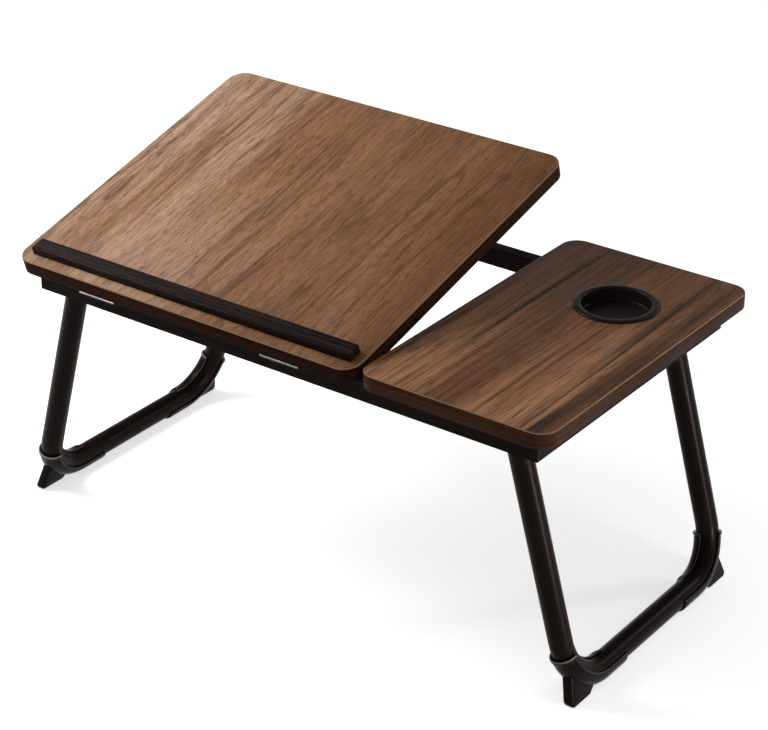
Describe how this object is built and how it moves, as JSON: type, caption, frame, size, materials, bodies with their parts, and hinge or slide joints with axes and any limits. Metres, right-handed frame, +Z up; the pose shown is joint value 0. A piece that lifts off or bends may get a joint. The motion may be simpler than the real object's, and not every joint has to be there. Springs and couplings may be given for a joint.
{
  "type": "folding laptop table",
  "caption": "Folding bed or lap table with a tilting walnut-look laptop board, a fixed side board with a cup holder, and splayed U-shaped tube legs that fold flat.",
  "frame": {"origin": "on the floor below the middle of the standing table's outline", "axes": "+X to the right along the table, towards the side board; +Y from front to back; +Z up"},
  "size_m": [0.6618, 0.354, 0.375],
  "materials": {
    "walnut_laminate": "satin laminate",
    "edge_band": "satin",
    "rail_wood": "dark satin foil",
    "pale_wood": "raw",
    "black_plastic": "satin",
    "foot_plastic": "satin",
    "black_steel": "gloss powder coat",
    "bright_steel": "zinc plated",
    "rubber": "matte"
  },
  "bodies": {
    "frame": {"side_board": "walnut_laminate", "side_edge_band": "edge_band", "cup_holder": "black_plastic", "front_rail": "rail_wood", "rear_rail": "rail_wood", "end_rail": "rail_wood", "left_leg_board": "rail_wood", "right_leg_board": "rail_wood", "dowels": "pale_wood", "side_board_screws": "bright_steel", "bumpers": "rubber", "support_board": "pale_wood", "support_screws": "bright_steel", "track_left": "black_plastic", "track_right": "black_plastic", "track_screws": "bright_steel", "hinge_leaf_frame_left": "bright_steel", "hinge_leaf_frame_right": "bright_steel", "hinge_pin_left": "bright_steel", "hinge_pin_right": "bright_steel", "hinge_frame_screws": "bright_steel", "bracket_left_front": "black_steel", "bracket_left_rear": "black_steel", "bracket_right_front": "black_steel", "bracket_right_rear": "black_steel", "bracket_screws": "bright_steel", "pivot_pins_left": "black_steel", "pivot_pins_right": "black_steel"},
    "tilt_top": {"tilt_board": "walnut_laminate", "tilt_edge_band": "edge_band", "stop_bar": "black_plastic", "stop_bar_screws": "bright_steel", "hinge_leaf_board_left": "bright_steel", "hinge_leaf_board_right": "bright_steel", "hinge_board_screws": "bright_steel", "prop_clip_left": "black_plastic", "prop_clip_right": "black_plastic", "prop_clip_screws": "bright_steel"},
    "prop": {"prop_wire": "black_steel"},
    "left_leg": {"left_leg_tube": "black_steel", "left_leg_caps": "foot_plastic", "left_foot_front": "foot_plastic", "left_foot_rear": "foot_plastic"},
    "right_leg": {"right_leg_tube": "black_steel", "right_leg_caps": "foot_plastic", "right_foot_front": "foot_plastic", "right_foot_rear": "foot_plastic"}
  },
  "joints": [
    {"name": "tilt_hinge", "type": "hinge", "parent": "frame", "child": "tilt_top", "pos_m": [-0.0759, -0.1725, 0.272], "axis": [1, 0, 0], "range_deg": [-14.5, 15.5]},
    {"name": "prop_swing", "type": "hinge", "parent": "tilt_top", "child": "prop", "pos_m": [-0.0874, -0.02641, 0.30617], "axis": [1, 0, 0], "range_deg": [-32, 30]},
    {"name": "left_leg_fold", "type": "hinge", "parent": "frame", "child": "left_leg", "pos_m": [-0.2567, 0.00199, 0.2385], "axis": [0, -1, 0], "range_deg": [0, 105.2]},
    {"name": "right_leg_fold", "type": "hinge", "parent": "frame", "child": "right_leg", "pos_m": [0.2567, 0.00199, 0.2385], "axis": [0, 1, 0], "range_deg": [0, 105.2]}
  ],
  "couplings": [
    {"joint": "prop_swing", "follows": "tilt_hinge", "ratio": -2.0162}
  ]
}
